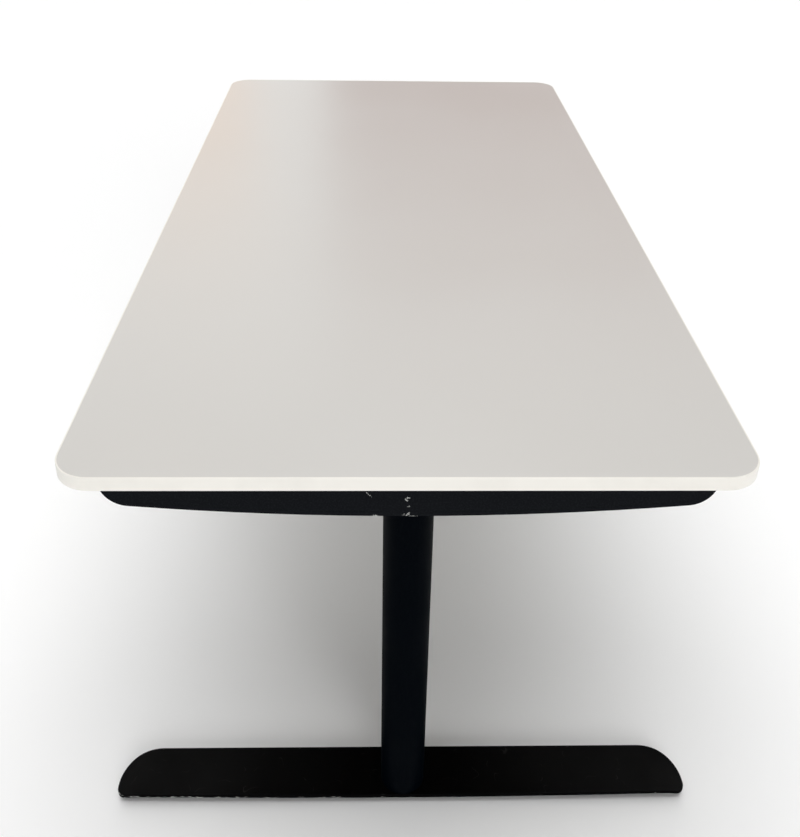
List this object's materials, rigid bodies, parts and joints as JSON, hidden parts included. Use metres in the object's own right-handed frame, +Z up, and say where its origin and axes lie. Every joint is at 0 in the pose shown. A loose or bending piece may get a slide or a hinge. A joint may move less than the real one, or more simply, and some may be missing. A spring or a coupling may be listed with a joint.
{
  "type": "electric standing desk",
  "caption": "Height-adjustable desk: pale board with rounded corners on black telescopic columns with bowed support arms, flat feet, motor drive and push-button handset.",
  "frame": {"origin": "on the floor, under the middle of the tabletop", "axes": "+X along the desk towards its right-hand end as the user sits, -Y towards the user, +Z up"},
  "size_m": [1.6, 0.8, 0.58],
  "materials": {
    "faced_board": "satin",
    "edge_band_plastic": "satin",
    "black_powder_coat": "satin",
    "zinc_plated_steel": "satin",
    "bright_steel": "polished",
    "drive_aluminium": "matte",
    "motor_can": "satin",
    "guide_plastic": "matte",
    "black_plastic": "matte",
    "button_plastic": "satin",
    "white_plastic": "matte",
    "circuit_board_laminate": "gloss",
    "glide_rubber": "matte"
  },
  "bodies": {
    "base": {"glide_bushes": "zinc_plated_steel", "foot_screws": "zinc_plated_steel", "left_foot": "black_powder_coat", "left_base_plate": "zinc_plated_steel", "left_outer_tube": "black_powder_coat", "left_outer_guide": "guide_plastic", "left_lower_screw": "bright_steel", "right_foot": "black_powder_coat", "right_base_plate": "zinc_plated_steel", "right_outer_tube": "black_powder_coat", "right_outer_guide": "guide_plastic", "right_lower_screw": "bright_steel"},
    "top": {"tabletop": "faced_board", "edge_band": "edge_band_plastic", "tabletop_screws": "zinc_plated_steel", "fitting_screws": "zinc_plated_steel", "mounting_screws": "zinc_plated_steel", "front_rail": "black_powder_coat", "rear_rail": "black_powder_coat", "rail_bolts": "zinc_plated_steel", "control_case": "black_plastic", "control_lid": "black_plastic", "circuit_board": "circuit_board_laminate", "mains_inlet": "black_plastic", "lead_sockets": "white_plastic", "handset_housing": "black_plastic", "handset_lid": "black_plastic", "handset_board": "circuit_board_laminate", "left_arm": "black_powder_coat", "left_mounting_plate": "zinc_plated_steel", "left_inner_tube": "black_powder_coat", "left_lift_nut": "guide_plastic", "left_gearbox": "drive_aluminium", "left_motor": "motor_can", "right_arm": "black_powder_coat", "right_mounting_plate": "zinc_plated_steel", "right_inner_tube": "black_powder_coat", "right_lift_nut": "guide_plastic", "right_gearbox": "drive_aluminium", "right_motor": "motor_can"},
    "left_middle": {"left_middle_tube": "black_powder_coat", "left_middle_guide": "guide_plastic", "left_bearing_carrier": "guide_plastic", "left_bearing": "bright_steel"},
    "left_screw": {"left_screw_tube": "bright_steel"},
    "left_sleeve": {"left_drive_sleeve": "drive_aluminium"},
    "left_front_glide": {"left_front_glide": "glide_rubber"},
    "left_rear_glide": {"left_rear_glide": "glide_rubber"},
    "right_middle": {"right_middle_tube": "black_powder_coat", "right_middle_guide": "guide_plastic", "right_bearing_carrier": "guide_plastic", "right_bearing": "bright_steel"},
    "right_screw": {"right_screw_tube": "bright_steel"},
    "right_sleeve": {"right_drive_sleeve": "drive_aluminium"},
    "right_front_glide": {"right_front_glide": "glide_rubber"},
    "right_rear_glide": {"right_rear_glide": "glide_rubber"},
    "down_button": {"down_button": "button_plastic"},
    "up_button": {"up_button": "button_plastic"}
  },
  "joints": [
    {"name": "top_lift", "type": "slide", "parent": "base", "child": "top", "axis": [0, 0, 1], "range_m": [0, 0.62]},
    {"name": "left_middle_lift", "type": "slide", "parent": "base", "child": "left_middle", "axis": [0, 0, 1], "range_m": [0, 0.31]},
    {"name": "left_screw_turn", "type": "hinge", "parent": "left_middle", "child": "left_screw", "pos_m": [-0.7475, 0, 0], "axis": [0, 0, 1], "range_deg": [0, 13950.5]},
    {"name": "left_sleeve_turn", "type": "hinge", "parent": "top", "child": "left_sleeve", "pos_m": [-0.7475, 0, 0], "axis": [0, 0, 1], "range_deg": [0, 13950.5]},
    {"name": "left_front_glide_level", "type": "slide", "parent": "base", "child": "left_front_glide", "axis": [0, 0, -1], "range_m": [0, 0.006]},
    {"name": "left_rear_glide_level", "type": "slide", "parent": "base", "child": "left_rear_glide", "axis": [0, 0, -1], "range_m": [0, 0.006]},
    {"name": "right_middle_lift", "type": "slide", "parent": "base", "child": "right_middle", "axis": [0, 0, 1], "range_m": [0, 0.31]},
    {"name": "right_screw_turn", "type": "hinge", "parent": "right_middle", "child": "right_screw", "pos_m": [0.7475, 0, 0], "axis": [0, 0, 1], "range_deg": [0, 13950.5]},
    {"name": "right_sleeve_turn", "type": "hinge", "parent": "top", "child": "right_sleeve", "pos_m": [0.7475, 0, 0], "axis": [0, 0, 1], "range_deg": [0, 13950.5]},
    {"name": "right_front_glide_level", "type": "slide", "parent": "base", "child": "right_front_glide", "axis": [0, 0, -1], "range_m": [0, 0.006]},
    {"name": "right_rear_glide_level", "type": "slide", "parent": "base", "child": "right_rear_glide", "axis": [0, 0, -1], "range_m": [0, 0.006]},
    {"name": "down_button_press", "type": "slide", "parent": "top", "child": "down_button", "axis": [0, 1, 0], "range_m": [0, 0.0015], "stiffness_N_per_m": 800, "springref_m": -0.001},
    {"name": "up_button_press", "type": "slide", "parent": "top", "child": "up_button", "axis": [0, 1, 0], "range_m": [0, 0.0015], "stiffness_N_per_m": 800, "springref_m": -0.001}
  ],
  "couplings": [
    {"joint": "left_middle_lift", "follows": "top_lift", "ratio": 0.5},
    {"joint": "left_screw_turn", "follows": "top_lift", "rad_per_m": 392.7},
    {"joint": "left_sleeve_turn", "follows": "top_lift", "rad_per_m": 392.7},
    {"joint": "right_middle_lift", "follows": "top_lift", "ratio": 0.5},
    {"joint": "right_screw_turn", "follows": "top_lift", "rad_per_m": 392.7},
    {"joint": "right_sleeve_turn", "follows": "top_lift", "rad_per_m": 392.7}
  ]
}
